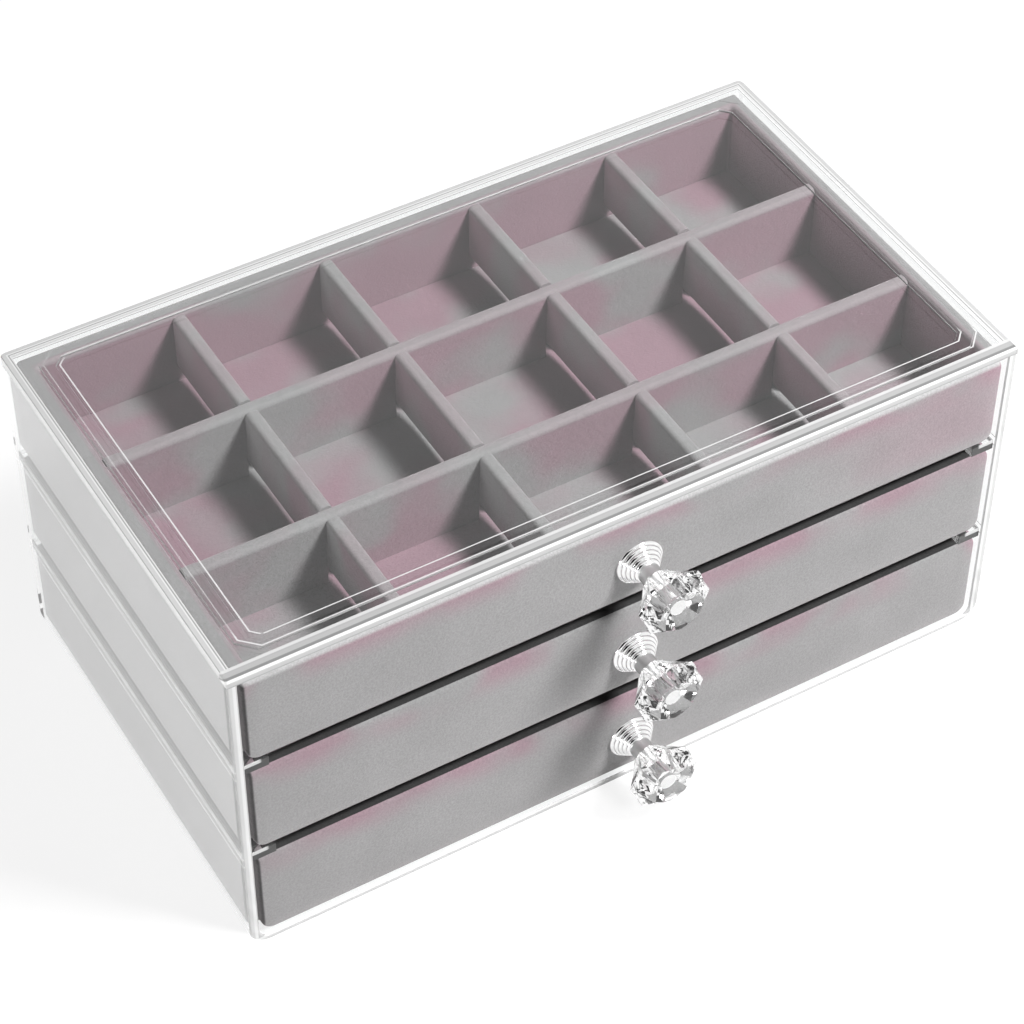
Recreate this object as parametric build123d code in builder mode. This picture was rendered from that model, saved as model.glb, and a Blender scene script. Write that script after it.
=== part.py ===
from build123d import *
from itertools import pairwise
import os

# Jewellery case: a clear outer case with three velvet-covered drawers.
# Millimetres, +Z up, front towards -Y, origin at the centre of the flat underside.

# Driving dimensions of the clear case
case_width = 235.0
case_depth = 134.0
case_height = 105.0
wall_thickness = 2.8
base_thickness = 2.0
lid_thickness = 2.4
case_bottom_radius = 6.0
case_back_radius = 2.0
case_edge_cut = 0.4
lid_edge_cut = 0.5

# Stacking ridge on top of the case
ridge_side_margin = 7.2
ridge_front_margin = 5.8
ridge_width = 4.0
ridge_height = 0.5
ridge_corner_cut = 4.4
ridge_inner_corner_cut = 2.7
ridge_edge_cut = 0.15

# Side rails between the drawers
rail_width = 7.0
rail_thickness = 3.0

# Drawers and their running clearances
drawer_count = 3
drawer_side_gap = 0.6
drawer_glide_gap = 0.25
drawer_head_gap = 0.9
drawer_rear_gap = 0.4
drawer_corner_gap = 0.3
front_recess = 0.9
front_thickness = 4.0
front_edge_round = 1.4
tray_wall = 4.4
tray_floor = 3.0
tray_rim_round = 1.4
tray_inner_corner = 1.0
pad_thickness = 4.0
pad_gap = 0.3

# Dividers: two long ones cross four short ones with half laps
divider_thickness = 4.0
divider_top_drop = 0.6
divider_end_gap = 0.2
divider_rim_round = 1.4
middle_column = 43.2
side_column = 40.7
back_row = 38.9
middle_row = 41.0
cross_lift = 5.4
lap_side_gap = 0.15
lap_height_gap = 0.1

# Knobs
knob_drop = 2.4
rosette_radius = 7.3
rosette_rings = 5
ring_step = 0.8
ring_height = 0.9
ring_edge_cut = 0.2
stem_radius = 3.1
stem_length = 4.1
stem_tail_radius = 2.3
stem_tail_gap = 0.05
pin_radius = 2.4
pin_length = 8.0
pin_gap = 0.1
crystal_sides = 8
crystal_back_radius = 4.3
crystal_neck_radius = 6.6
crystal_girdle_radius = 10.3
crystal_table_radius = 6.6
crystal_back_valley = 0.3
crystal_neck_valley = 0.8
crystal_girdle_valley = 1.1
crystal_table_valley = 0.3
crystal_neck_height = 3.2
crystal_pavilion_height = 7.6
crystal_girdle_height = 1.2
crystal_crown_height = 3.0
screw_radius = 1.1
screw_depth = 5.0
screw_head_radius = 2.8
screw_head_height = 1.6
screw_head_cut = 0.5
screw_slot_width = 0.7
screw_slot_depth = 0.7
screw_hole_gap = 0.5
thread_gap = 0.05

# Places that follow from the sizes above
wall_top = case_height - lid_thickness
inner_half_width = case_width / 2 - wall_thickness
case_front_y = -case_depth / 2
case_inner_back_y = case_depth / 2 - wall_thickness
bay_height = (wall_top - base_thickness - (drawer_count - 1) * rail_thickness) / drawer_count
level_pitch = bay_height + rail_thickness
drawer_width = 2 * (inner_half_width - drawer_side_gap)
drawer_height = bay_height - drawer_glide_gap - drawer_head_gap
drawer_corner_radius = case_bottom_radius - wall_thickness + drawer_corner_gap
face_y = case_front_y + front_recess
tray_front_y = face_y + front_thickness
tray_back_y = case_inner_back_y - drawer_rear_gap
tray_inner_width = drawer_width - 2 * tray_wall
tray_inner_back_y = tray_back_y - tray_wall
tray_inner_depth = tray_inner_back_y - tray_front_y
pad_top_height = tray_floor + pad_thickness
divider_top_height = drawer_height - divider_top_drop
cross_bottom_height = pad_top_height + cross_lift
lap_height = (cross_bottom_height + divider_top_height) / 2
inner_cross_x = middle_column / 2 + divider_thickness / 2
outer_cross_x = inner_cross_x + side_column + divider_thickness
cross_places = (-outer_cross_x, -inner_cross_x, inner_cross_x, outer_cross_x)
back_divider_y = tray_inner_back_y - back_row - divider_thickness / 2
front_divider_y = back_divider_y - middle_row - divider_thickness
rosette_height = rosette_rings * ring_height
crystal_start = rosette_height + stem_length
round_over = 0.45


def front_plane(y, z=0.0):
    """Upright plane at depth y, seen from the front: local X is +X and local Y is +Z."""
    return Plane(origin=(0, y, z), x_dir=(1, 0, 0), z_dir=(0, -1, 0))


def knob_plane(knob_z):
    """Half section of a knob: local X is the radius, local Y runs out of the drawer front."""
    return Plane(origin=(0, face_y, knob_z), x_dir=(0, 0, 1), z_dir=(1, 0, 0))


def knob_axis(knob_z):
    """Centre line of a knob, pointing out of the drawer front."""
    return Axis((0, face_y, knob_z), (0, -1, 0))


def keep(piece, label):
    """Name a finished piece and write it."""
    piece.part.label = label
    export_step(piece.part, f"parts/{label}.step")


def make_case_shell():
    """Base, two sides and back of the clear case, open at the front and on top."""
    with BuildPart() as case_shell:
        with BuildSketch(front_plane(case_front_y)) as outline:
            with Locations((0, wall_top / 2)):
                Rectangle(case_width, wall_top)
            fillet(outline.vertices().group_by(Axis.Y)[0], case_bottom_radius)
        extrude(amount=-case_depth)
        back_edges = case_shell.edges().filter_by(Axis.Z).group_by(Axis.Y)[-1]
        fillet(back_edges, case_back_radius)
        with BuildSketch(front_plane(case_front_y)) as cavity:
            with Locations((0, base_thickness + wall_top / 2)):
                Rectangle(2 * inner_half_width, wall_top)
            fillet(cavity.vertices().group_by(Axis.Y)[0], case_bottom_radius - wall_thickness)
        extrude(amount=-(case_depth - wall_thickness), mode=Mode.SUBTRACT)
        front_rim = case_shell.faces().sort_by(Axis.Y)[0].edges()
        chamfer(front_rim.group_by(Axis.Z)[0] + front_rim.filter_by(Axis.Z), case_edge_cut)
    keep(case_shell, "case_shell")


def make_top_panel():
    """Flat clear top with a low ridge that locates another case on it."""
    ridge_outer_x = case_width - 2 * ridge_side_margin
    ridge_outer_y = case_depth - 2 * ridge_front_margin
    with BuildPart() as top_panel:
        with BuildSketch(Plane.XY.offset(wall_top)) as plate:
            Rectangle(case_width, case_depth)
            fillet(plate.vertices().group_by(Axis.Y)[-1], case_back_radius)
        extrude(amount=lid_thickness)
        chamfer(top_panel.faces().sort_by(Axis.Z)[-1].edges(), lid_edge_cut)
        with BuildSketch(Plane.XY.offset(case_height)):
            with BuildSketch(mode=Mode.PRIVATE) as inner:
                Rectangle(ridge_outer_x - 2 * ridge_width, ridge_outer_y - 2 * ridge_width)
                chamfer(inner.vertices(), ridge_inner_corner_cut)
            with BuildSketch(mode=Mode.PRIVATE) as outer:
                Rectangle(ridge_outer_x, ridge_outer_y)
                chamfer(outer.vertices(), ridge_corner_cut)
            add(outer.sketch)
            add(inner.sketch, mode=Mode.SUBTRACT)
        extrude(amount=ridge_height)
        chamfer(top_panel.faces().sort_by(Axis.Z)[-1].edges(), ridge_edge_cut)
    keep(top_panel, "top_panel")


def make_rail(label, side, level):
    """Narrow shelf bonded to a side wall: the drawer above slides on it."""
    rail_bottom = base_thickness + level * level_pitch - rail_thickness
    with BuildPart() as rail:
        with BuildSketch(front_plane(face_y, rail_bottom + rail_thickness / 2)):
            with Locations((side * (inner_half_width - rail_width / 2), 0)):
                Rectangle(rail_width, rail_thickness)
        extrude(amount=face_y - case_inner_back_y)
    keep(rail, label)


def make_tray(label, drawer_z):
    """Velvet-covered drawer tray: floor, two sides and back, closed by the front panel."""
    with BuildPart() as tray:
        with BuildSketch(front_plane(tray_front_y, drawer_z)) as outline:
            with Locations((0, drawer_height / 2)):
                Rectangle(drawer_width, drawer_height)
            fillet(outline.vertices().group_by(Axis.Y)[0], drawer_corner_radius)
        extrude(amount=tray_front_y - tray_back_y)
        with BuildSketch(Plane.XY.offset(drawer_z + tray_floor)) as hollow:
            with Locations((0, tray_front_y + tray_inner_depth / 2)):
                Rectangle(tray_inner_width, tray_inner_depth)
            fillet(hollow.vertices().group_by(Axis.Y)[-1], tray_inner_corner)
        extrude(amount=drawer_height, mode=Mode.SUBTRACT)
        rim = tray.faces().sort_by(Axis.Z)[-1].edges()
        rim = rim.filter_by_position(Axis.Y, tray_front_y + tray_wall, tray_back_y) + rim.filter_by(Axis.Y)
        fillet(ShapeList(set(rim)), min(tray_rim_round, tray_wall * round_over))
    keep(tray, label)


def make_front(label, drawer_z):
    """Velvet-covered drawer front with rounded corners and a hole for the knob's screw."""
    with BuildPart() as front:
        with BuildSketch(front_plane(face_y, drawer_z + drawer_height / 2)):
            RectangleRounded(drawer_width, drawer_height, drawer_corner_radius)
        extrude(amount=-front_thickness)
        fillet(front.faces().sort_by(Axis.Y)[0].edges(), min(front_edge_round, front_thickness * round_over))
        with Locations(front_plane(face_y, drawer_z + drawer_height / 2 - knob_drop)):
            Hole(radius=screw_radius + screw_hole_gap, depth=front_thickness)
    keep(front, label)


def make_pad(label, drawer_z):
    """Soft velvet-covered pad that lies on the tray floor under the dividers."""
    with BuildPart() as pad:
        with BuildSketch(Plane.XY.offset(drawer_z + tray_floor)) as area:
            with Locations((0, tray_front_y + tray_inner_depth / 2)):
                Rectangle(tray_inner_width - 2 * pad_gap, tray_inner_depth - 2 * pad_gap)
            fillet(area.vertices(), tray_inner_corner)
        extrude(amount=pad_thickness)
    keep(pad, label)


def make_long_divider(label, drawer_z, divider_y):
    """Divider along the drawer's width, slotted from below to drop over the cross dividers."""
    length = tray_inner_width - 2 * divider_end_gap
    height = divider_top_height - pad_top_height
    slot_width = divider_thickness + 2 * lap_side_gap
    slot_top = lap_height + lap_height_gap
    with BuildPart() as long_divider:
        with BuildSketch(front_plane(divider_y - divider_thickness / 2, drawer_z + pad_top_height)):
            with Locations((0, height / 2)):
                Rectangle(length, height)
        extrude(amount=-divider_thickness)
        rim = long_divider.faces().sort_by(Axis.Z)[-1].edges().filter_by(Axis.X)
        fillet(rim, min(divider_rim_round, divider_thickness * round_over))
        with BuildSketch(front_plane(divider_y - divider_thickness / 2, drawer_z + slot_top)):
            for cross_x in cross_places:
                with Locations((cross_x, -(slot_top - pad_top_height) / 2)):
                    Rectangle(slot_width, slot_top - pad_top_height)
        extrude(amount=-divider_thickness, mode=Mode.SUBTRACT)
    keep(long_divider, label)


def make_cross_divider(label, drawer_z, cross_x):
    """Shallow divider from front to back, notched on top where the long dividers lie over it."""
    length = tray_inner_depth - 2 * divider_end_gap
    height = divider_top_height - cross_bottom_height
    notch_width = divider_thickness + 2 * lap_side_gap
    notch_bottom = lap_height - lap_height_gap
    notch_height = drawer_height - notch_bottom
    middle_y = tray_front_y + tray_inner_depth / 2
    side = Plane(origin=(cross_x, 0, drawer_z), x_dir=(0, 1, 0), z_dir=(1, 0, 0))
    with BuildPart() as cross_divider:
        with BuildSketch(side):
            with Locations((middle_y, cross_bottom_height + height / 2)):
                Rectangle(length, height)
        extrude(amount=divider_thickness / 2, both=True)
        rim = cross_divider.faces().sort_by(Axis.Z)[-1].edges().filter_by(Axis.Y)
        fillet(rim, min(divider_rim_round, divider_thickness * round_over))
        with BuildSketch(side):
            with Locations((back_divider_y, notch_bottom + notch_height / 2),
                           (front_divider_y, notch_bottom + notch_height / 2)):
                Rectangle(notch_width, notch_height)
        extrude(amount=divider_thickness / 2, both=True, mode=Mode.SUBTRACT)
    keep(cross_divider, label)


def make_rosette(label, knob_z):
    """Stepped round base of a knob: rings that get smaller away from the drawer front."""
    with BuildPart() as rosette:
        with BuildSketch(knob_plane(knob_z)) as section:
            for ring in range(rosette_rings):
                ring_radius = rosette_radius - ring * ring_step
                with BuildSketch(mode=Mode.PRIVATE) as step:
                    with Locations((0, ring * ring_height)):
                        Rectangle(ring_radius, ring_height, align=(Align.MIN, Align.MIN))
                    chamfer(step.vertices().group_by(Axis.Y)[-1].sort_by(Axis.X)[-1], ring_edge_cut)
                add(step.sketch)
            Rectangle(stem_tail_radius + stem_tail_gap, rosette_height,
                      align=(Align.MIN, Align.MIN), mode=Mode.SUBTRACT)
        revolve(axis=knob_axis(knob_z))
    keep(rosette, label)


def make_stem(label, knob_z):
    """Turned spindle of a knob: tail in the rosette, plain neck, and a pin inside the crystal."""
    with BuildPart() as stem:
        with BuildSketch(front_plane(face_y, knob_z)):
            Circle(stem_tail_radius)
        extrude(amount=rosette_height)
        with BuildSketch(front_plane(face_y - rosette_height, knob_z)):
            Circle(stem_radius)
        extrude(amount=stem_length)
        with BuildSketch(front_plane(face_y - crystal_start, knob_z)):
            Circle(pin_radius)
        extrude(amount=pin_length)
        with BuildSketch(front_plane(face_y, knob_z)):
            Circle(screw_radius + thread_gap)
        extrude(amount=screw_depth + screw_hole_gap, mode=Mode.SUBTRACT)
    keep(stem, label)


def star_outline(distance, radius, valley, knob_z):
    """Corners of one facet ring of a crystal: a point at each side and a shallow valley between points."""
    centre = Vector(0, face_y - distance, knob_z)
    half_turn = 180 / crystal_sides
    arms = [(radius, 2 * side * half_turn) for side in range(crystal_sides)]
    dips = [(radius - valley, (2 * side + 1) * half_turn) for side in range(crystal_sides)]
    ring = [corner for pair in zip(arms, dips) for corner in pair]
    return [centre + Vector(0, 0, reach).rotate(Axis.Y, turn) for reach, turn in ring]


def make_crystal(label, knob_z):
    """Faceted clear crystal: flared from the stem to its girdle, then cut back to a flat table."""
    neck = crystal_start + crystal_neck_height
    girdle = crystal_start + crystal_pavilion_height
    crown = girdle + crystal_girdle_height
    table = crown + crystal_crown_height
    rings = [
        star_outline(crystal_start, crystal_back_radius, crystal_back_valley, knob_z),
        star_outline(neck, crystal_neck_radius, crystal_neck_valley, knob_z),
        star_outline(girdle, crystal_girdle_radius, crystal_girdle_valley, knob_z),
        star_outline(crown, crystal_girdle_radius, crystal_girdle_valley, knob_z),
        star_outline(table, crystal_table_radius, crystal_table_valley, knob_z),
    ]
    facets = [Face(Wire.make_polygon(rings[0])), Face(Wire.make_polygon(rings[-1]))]
    for behind, ahead in pairwise(rings):
        for corner in range(2 * crystal_sides):
            following = (corner + 1) % (2 * crystal_sides)
            patch = [behind[corner], behind[following], ahead[following], ahead[corner]]
            if corner % 2:
                patch = patch[1:] + patch[:1]
            facets.append(Face(Wire.make_polygon(patch[:3])))
            facets.append(Face(Wire.make_polygon(patch[2:] + patch[:1])))
    with BuildPart() as crystal:
        add(Solid(Shell(facets)))
        with BuildSketch(front_plane(face_y - crystal_start, knob_z)):
            Circle(pin_radius + pin_gap)
        extrude(amount=pin_length + pin_gap, mode=Mode.SUBTRACT)
    keep(crystal, label)


def make_screw(label, knob_z):
    """Slotted screw that holds the knob from inside the drawer."""
    with BuildPart() as screw:
        with BuildSketch(front_plane(tray_front_y, knob_z)):
            Circle(screw_radius)
        extrude(amount=front_thickness + screw_depth)
        with BuildSketch(front_plane(tray_front_y, knob_z)):
            Circle(screw_head_radius)
        extrude(amount=-screw_head_height)
        chamfer(screw.faces().sort_by(Axis.Y)[-1].edges(), min(screw_head_cut, screw_head_height * round_over))
        with BuildSketch(front_plane(tray_front_y + screw_head_height, knob_z)):
            Rectangle(2 * screw_head_radius, screw_slot_width)
        extrude(amount=screw_slot_depth, mode=Mode.SUBTRACT)
    keep(screw, label)


def make_drawer(name, level):
    """All pieces of one drawer, from its tray to its knob."""
    drawer_z = base_thickness + level * level_pitch + drawer_glide_gap
    knob_z = drawer_z + drawer_height / 2 - knob_drop
    make_tray(f"{name}_tray", drawer_z)
    make_front(f"{name}_front", drawer_z)
    make_pad(f"{name}_floor_pad", drawer_z)
    make_long_divider(f"{name}_back_divider", drawer_z, back_divider_y)
    make_long_divider(f"{name}_front_divider", drawer_z, front_divider_y)
    for number, cross_x in enumerate(cross_places, start=1):
        make_cross_divider(f"{name}_cross_divider_{number}", drawer_z, cross_x)
    make_rosette(f"{name}_knob_rosette", knob_z)
    make_stem(f"{name}_knob_stem", knob_z)
    make_crystal(f"{name}_knob_crystal", knob_z)
    make_screw(f"{name}_knob_screw", knob_z)


os.makedirs("parts", exist_ok=True)
make_case_shell()
make_top_panel()
make_rail("lower_left_rail", -1, 1)
make_rail("lower_right_rail", 1, 1)
make_rail("upper_left_rail", -1, 2)
make_rail("upper_right_rail", 1, 2)
for drawer_level, drawer_name in enumerate(("bottom", "middle", "top")):
    make_drawer(drawer_name, drawer_level)
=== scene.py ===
import math

import bmesh
import bpy
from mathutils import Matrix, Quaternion, Vector, noise


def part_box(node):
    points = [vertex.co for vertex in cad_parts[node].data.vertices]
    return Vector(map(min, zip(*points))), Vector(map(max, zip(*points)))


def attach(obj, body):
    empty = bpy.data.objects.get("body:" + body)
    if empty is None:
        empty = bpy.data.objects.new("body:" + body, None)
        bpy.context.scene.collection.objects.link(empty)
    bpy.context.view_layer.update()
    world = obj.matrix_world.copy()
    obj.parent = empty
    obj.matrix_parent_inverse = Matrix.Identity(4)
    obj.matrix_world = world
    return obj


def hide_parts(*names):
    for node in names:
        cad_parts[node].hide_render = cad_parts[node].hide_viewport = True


bl_info = {
    "name": "Velvet Jewellery Case",
    "version": (1, 0, 0),
    "blender": (4, 5, 0),
    "location": "3D View > Sidebar > Jewellery Case",
    "description": "Dresses a clear three-drawer case with velvet, metal and crystal",
    "category": "Object",
}

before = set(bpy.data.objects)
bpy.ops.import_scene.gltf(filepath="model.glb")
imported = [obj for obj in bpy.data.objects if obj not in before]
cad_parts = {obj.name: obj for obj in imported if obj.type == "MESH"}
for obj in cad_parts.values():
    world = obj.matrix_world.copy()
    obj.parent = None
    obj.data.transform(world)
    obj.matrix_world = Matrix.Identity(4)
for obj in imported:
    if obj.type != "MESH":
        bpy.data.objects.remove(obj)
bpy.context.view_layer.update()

DRAWERS = ("bottom", "middle", "top")
DIVIDERS = (
    "back_divider",
    "front_divider",
    "cross_divider_1",
    "cross_divider_2",
    "cross_divider_3",
    "cross_divider_4",
)
RAILS = (
    "lower_left_rail",
    "lower_right_rail",
    "upper_left_rail",
    "upper_right_rail",
)

# Sizes and places of the CAD, in metres: all from the frame but the ridge's height
CASE_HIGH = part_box("case_shell")[1]
LID_LOW, LID_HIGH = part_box("top_panel")
RAIL_LOW, RAIL_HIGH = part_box("lower_right_rail")
HALF_WIDTH = CASE_HIGH.x
HALF_DEPTH = CASE_HIGH.y
WALL_THICKNESS = HALF_WIDTH - RAIL_HIGH.x
RIDGE_HEIGHT = 0.0005
LID_TOP = LID_HIGH.z - RIDGE_HEIGHT
LID_THICKNESS = LID_TOP - LID_LOW.z
STEM_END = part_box("top_knob_stem")[0].y

# How near to a face counts as on it, in a finish and in a mesh
SKIN = 0.0003
TINY = 1e-6

# The lowest drawer starts a trace lower, so that undersides are at share 0 of a drawer and not 1
DRAWER_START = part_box("bottom_tray")[0].z - TINY
DRAWER_PITCH = (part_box("top_tray")[0].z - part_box("bottom_tray")[0].z) / 2

# Acrylic edges painted whitish: depths of the bands at the edges, where the rails' painted highlights on
# their lit sides show, and where the joints show
WALL_EDGE_DEPTH = 0.0004
LID_RIM = 0.0026
LID_FRONT_BAND = 0.004
LID_FRONT_SHARE = 0.46
RAIL_LIT_SIDE = (0.1095, 0.1105)
RAIL_LIT_SHARE = 0.965
JOINT_HEIGHTS = (0.03, 0.075)
JOINT_HALF_SHARE = 0.006
JOINT_STRENGTH = 0.7

# The ridge's inner and outer painted highlight lines: half width and half depth round the lid, corner cut
RIDGE_HIGHLIGHTS = ((0.1063, 0.0575, 0.0027), (0.1103, 0.0608, 0.0044))
RIDGE_HIGHLIGHT_HALF = 0.0002
RIDGE_STEP_INSET = 0.00003
RIDGE_FRONT = (-0.052, -0.056)
RIDGE_LEFT = (0.03, -0.1)
RIDGE_BACK = (0.057, 0.055)
RIDGE_OUTER_STRENGTH = 0.4
RIDGE_UNLIT_STRENGTH = 0.07
RIDGE_LIT_STRENGTH = 0.85

# Where the velvet changes, and by how much: shares are heights within a drawer
TRAY_SIDE = 0.1112
TRAY_BACK = 0.0608
TRAY_RIM_SHARES = (0.82, 0.86)
DIVIDER_TOP_SHARES = (0.8, 0.85)
FRONT_BLOOM_SHARES = (0.55, 0.85)
FRONT_BLOOM_RIGHT = (0.04, 0.1)
FRONT_BLOOM_HEIGHTS = (0.07, 0.08)
# Painted shade at the left end of each front and along the top of the lower fronts, and a painted
# highlight along the top of the top front
PAINTED_SHADE_LEFT = (-0.1121, -0.1127)
PAINTED_SHADE_TOP_SHARE = 0.893
PAINTED_SHADE_BELOW = 0.07
PAINTED_SHADE_TONE = 0.12
PAINTED_HIGHLIGHT_TOP = (0.0988, 0.1004)
PAINTED_HIGHLIGHT_TONE = 1.7

# How far in from its end the pin in a crystal is painted white, a painted highlight seen through the
# crystal
PIN_HIGHLIGHT_DEPTH = 0.0002

# Tones of the painted reflections and painted shade on the edges, each after its place across the edge,
# from 0 to 1
WALL_EDGE_REFLECTION_TONES = (
    (0.0, 0.3),
    (0.12, 0.3),
    (0.2, 0.4),
    (0.45, 0.4),
    (0.55, 0.52),
    (0.8, 0.52),
    (0.86, 0.28),
    (1.0, 0.34),
)
RAIL_END_SHADE_TONES = ((0.0, 0.03), (0.5, 0.3), (1.0, 0.42))
LID_SIDE_REFLECTION_TONES = (
    (0.0, 0.28),
    (0.06, 0.28),
    (0.1, 0.38),
    (0.36, 0.4),
    (0.39, 0.55),
    (0.445, 0.55),
    (0.465, 0.2),
    (0.52, 0.2),
    (0.54, 0.36),
    (0.75, 0.34),
    (0.77, 0.5),
    (0.82, 0.5),
    (0.84, 0.2),
    (0.89, 0.2),
    (0.91, 0.5),
    (1.0, 0.5),
)
LID_FRONT_REFLECTION_TONES = (
    (0.0, 0.24),
    (0.05, 0.24),
    (0.08, 0.33),
    (0.3, 0.35),
    (0.36, 0.5),
    (0.5, 0.5),
    (0.53, 0.13),
    (0.63, 0.13),
    (0.66, 0.26),
    (0.86, 0.26),
    (0.89, 0.44),
    (1.0, 0.44),
)

# Bounces after which a ray passes straight through a clear piece
ACRYLIC_BOUNCES = 4
CRYSTAL_BOUNCES = 8

# Studio: the middle that all is turned to, and each lamp's name, power setting, place and size
MIDDLE = Vector((0.0, 0.0, 0.05))
LAMPS = (
    ("key lamp", "key_power", (0.5, -0.55, 1.03), (0.28, 0.28)),
    ("side lamp", "side_power", (-0.9, -0.1, 0.04), (0.6, 0.1)),
    ("left lamp", "left_power", (-0.9, 0.1, 0.38), (0.3, 0.3)),
)

# The dark card: place, size, and how much of its size is fully dark each way from its middle
CARD_PLACE = (-0.47, -0.39, 0.43)
CARD_SIZE = (0.85, 0.66)
CARD_DARK_SHARE = 0.36

FLOOR_SIZE = 6.0
FLOOR_DROP = 0.0003

# Faces that meet at more than this angle keep a sharp edge
SHARP_ANGLE = math.radians(40)

# Floor pads: corner, strips along and across, width of the held edge, and waves per metre
PAD_CORNER = 0.001
PAD_STRIPS = (56, 32)
PAD_FALL_OFF = 0.005
PAD_WAVES = Vector((55.0, 55.0, 90.0))

# Drawer fronts: strips along and up, and width of the edge where the crown falls off
FRONT_STRIPS = (48, 8)
FRONT_FALL_OFF = 0.003

# Rosettes: steps along a ring's quarter round, and steps of the turn
BEAD_STEPS = 6
TURN_STEPS = 96


# Shader recipes


class Wire:
    """A value on its way through a finish. Sums and products of wires add Math nodes."""

    def __init__(self, finish, socket):
        self.finish = finish
        self.socket = socket

    def maths(self, operation, *terms):
        return self.finish.node("ShaderNodeMath", {"operation": operation}, dict(enumerate(terms)))

    def __add__(self, other):
        return self.maths("ADD", self, other)

    def __radd__(self, other):
        return self.maths("ADD", other, self)

    def __sub__(self, other):
        return self.maths("SUBTRACT", self, other)

    def __rsub__(self, other):
        return self.maths("SUBTRACT", other, self)

    def __mul__(self, other):
        return self.maths("MULTIPLY", self, other)

    def __rmul__(self, other):
        return self.maths("MULTIPLY", other, self)

    def __or__(self, other):
        return self.maths("MAXIMUM", self, other)

    def __and__(self, other):
        return self.maths("MINIMUM", self, other)

    def __abs__(self):
        return self.maths("ABSOLUTE", self)

    def over(self, limit):
        return self.maths("GREATER_THAN", self, limit)

    def under(self, limit):
        return self.maths("LESS_THAN", self, limit)


class Finish:
    """The node tree of one surface finish, or of the light round the object."""

    def __init__(self, holder):
        holder.use_nodes = True
        self.holder = holder
        self.tree = holder.node_tree
        self.tree.nodes.clear()

    def node(self, kind, settings=None, sockets=None, output=0):
        """Add a node: its settings, then a value or a wire for each socket, by number or identifier."""
        made = self.tree.nodes.new(kind)
        for name, value in (settings or {}).items():
            if name == "stops":
                fill_ramp(made.color_ramp, value)
            else:
                setattr(made, name, value)
        by_name = {socket.identifier: socket for socket in made.inputs}
        for key, value in (sockets or {}).items():
            socket = made.inputs[key] if isinstance(key, int) else by_name[key]
            if isinstance(value, Wire):
                self.tree.links.new(value.socket, socket)
            else:
                socket.default_value = value
        return Wire(self, made.outputs[output]) if made.outputs else None

    def place(self, stretch=(1.0, 1.0, 1.0)):
        """Coordinates in the object's own frame, stretched along its axes."""
        where = self.node("ShaderNodeTexCoord", output="Object")
        return self.node("ShaderNodeMapping", {}, {"Vector": where, "Scale": stretch})

    def axes(self):
        """The three object coordinates in metres."""
        sockets = {"Vector": self.place()}
        return [self.node("ShaderNodeSeparateXYZ", {}, sockets, output=axis) for axis in range(3)]

    def clouds(self, size, detail=2.0, roughness=0.5, stretch=(1.0, 1.0, 1.0)):
        """Soft noise from 0 to 1 whose patches are about this many metres across."""
        sockets = {
            "Vector": self.place(stretch),
            "Scale": 1.0 / size,
            "Detail": detail,
            "Roughness": roughness,
        }
        return self.node("ShaderNodeTexNoise", {}, sockets)

    def spread(self, value, low, high, out_low=0.0, out_high=1.0):
        """Map a value from one range to another with soft ends; a range may run downwards."""
        sockets = {
            "Value": value,
            "From Min": low,
            "From Max": high,
            "To Min": out_low,
            "To Max": out_high,
        }
        return self.node("ShaderNodeMapRange", {"interpolation_type": "SMOOTHSTEP"}, sockets)

    def tint(self, mask, first, second, mode="MIX"):
        """Mix two colours by a mask."""
        settings = {"data_type": "RGBA", "blend_type": mode}
        sockets = {"Factor_Float": mask, "A_Color": first, "B_Color": second}
        return self.node("ShaderNodeMix", settings, sockets, output=2)

    def relief(self, height, strength, depth):
        """A bumpy surface normal from a height between 0 and 1."""
        sockets = {"Strength": strength, "Distance": depth, "Height": height}
        return self.node("ShaderNodeBump", {}, sockets)

    def skin(self, **sockets):
        """A Principled surface with these sockets."""
        named = {name.replace("_", " "): value for name, value in sockets.items()}
        return self.node("ShaderNodeBsdfPrincipled", {}, named)

    def either(self, mask, first, second):
        """One surface or light where the mask is 0 and the other where it is 1."""
        sockets = {"Fac": mask, "Shader": first, "Shader_001": second}
        return self.node("ShaderNodeMixShader", {}, sockets)

    def ray(self, kind):
        """1 for light paths of one kind, such as camera or shadow rays."""
        return self.node("ShaderNodeLightPath", output=kind)

    def seen_white(self):
        """1 for rays that show the plain white backdrop: straight, mirrored or through clear plastic."""
        clean = self.ray("Is Camera Ray") | self.ray("Is Glossy Ray") | self.ray("Is Transmission Ray")
        return clean * (1.0 - self.ray("Diffuse Depth").over(0.5))

    def passing(self, share=1.0):
        """Nothing there: this share of the light goes straight on."""
        return self.node("ShaderNodeBsdfTransparent", {}, {"Color": grey(share)})

    def done(self, surface, kind="ShaderNodeOutputMaterial"):
        """Wire the finished surface to the output and return what holds it."""
        self.node(kind, {}, {"Surface": surface})
        return self.holder


def fill_ramp(ramp, stops):
    """Put the stops, each a place and a colour, on a colour ramp."""
    while len(ramp.elements) < len(stops):
        ramp.elements.new(1.0)
    for element, (position, colour) in zip(ramp.elements, stops):
        element.position = position
        element.color = colour


def opaque(colour):
    """A four-part colour from a three-part one."""
    return (*colour, 1.0)


def shaded(colour, amount):
    """A colour made darker or lighter by a factor."""
    return opaque(part * amount for part in colour)


def grey(tone):
    """A plain grey, 0 for black and 1 for white."""
    return (tone, tone, tone, 1.0)


def see_through(finish, surface, bounces, passed=1.0):
    """Let bounced light and old rays, and a share of the lamps' light, straight through a clear piece."""
    old = finish.ray("Is Diffuse Ray") | finish.ray("Ray Depth").over(bounces + 0.5)
    clear = finish.passing()
    shade = finish.passing(passed)
    return finish.either(finish.ray("Is Shadow Ray"), finish.either(old, surface, clear), shade)


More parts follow.
